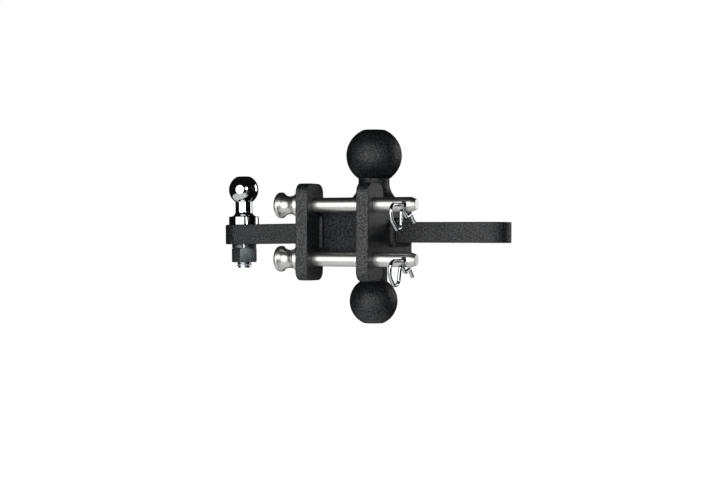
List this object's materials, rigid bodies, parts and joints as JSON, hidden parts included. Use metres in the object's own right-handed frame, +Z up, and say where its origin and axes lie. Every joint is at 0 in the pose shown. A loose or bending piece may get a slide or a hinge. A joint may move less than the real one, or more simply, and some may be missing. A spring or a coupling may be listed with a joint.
{
  "type": "two-ball trailer ball mount with sway-control wings",
  "caption": "Black two-ball mount for an adjustable drop hitch: clevis plates, cross pins with wire clips, and side wings, one with a chrome sway-control ball.",
  "frame": {"origin": "middle of the shank clevis: halfway between the side plates, on the plane of the two cross pins and halfway between them", "axes": "+X along the wings, towards the wing with no ball on it and the pins' clips; +Y back from the clevis to the ball axis; +Z up to the larger ball"},
  "size_m": [0.3225, 0.164, 0.2038],
  "materials": {
    "powder_coat": "fine-textured black powder coat on steel",
    "chrome_plate": "polished chrome plate",
    "zinc_plate": "bright zinc plate",
    "turned_steel": "turned and tumbled stainless steel",
    "bright_wire": "bright zinc-plated spring wire"
  },
  "bodies": {
    "mount_body": {"dual_ball_forging": "powder_coat", "left_side_plate": "powder_coat", "right_side_plate": "powder_coat", "left_plate_weld": "powder_coat", "right_plate_weld": "powder_coat", "left_wing": "powder_coat", "right_wing": "powder_coat", "left_wing_weld": "powder_coat", "right_wing_weld": "powder_coat", "sway_ball": "chrome_plate", "sway_lock_washer": "zinc_plate", "sway_nut": "zinc_plate"},
    "upper_pin": {"upper_pin": "turned_steel"},
    "lower_pin": {"lower_pin": "turned_steel"},
    "upper_clip": {"upper_pin_clip": "bright_wire"},
    "lower_clip": {"lower_pin_clip": "bright_wire"}
  },
  "joints": [
    {"name": "upper_pin_slide", "type": "slide", "parent": "mount_body", "child": "upper_pin", "axis": [-1, 0, 0], "range_m": [0, 0.0275]},
    {"name": "lower_pin_slide", "type": "slide", "parent": "mount_body", "child": "lower_pin", "axis": [-1, 0, 0], "range_m": [0, 0.0275]},
    {"name": "upper_clip_pull", "type": "slide", "parent": "upper_pin", "child": "upper_clip", "axis": [0, -1, 0], "range_m": [0, 0.031]},
    {"name": "lower_clip_pull", "type": "slide", "parent": "lower_pin", "child": "lower_clip", "axis": [0, -1, 0], "range_m": [0, 0.031]}
  ]
}
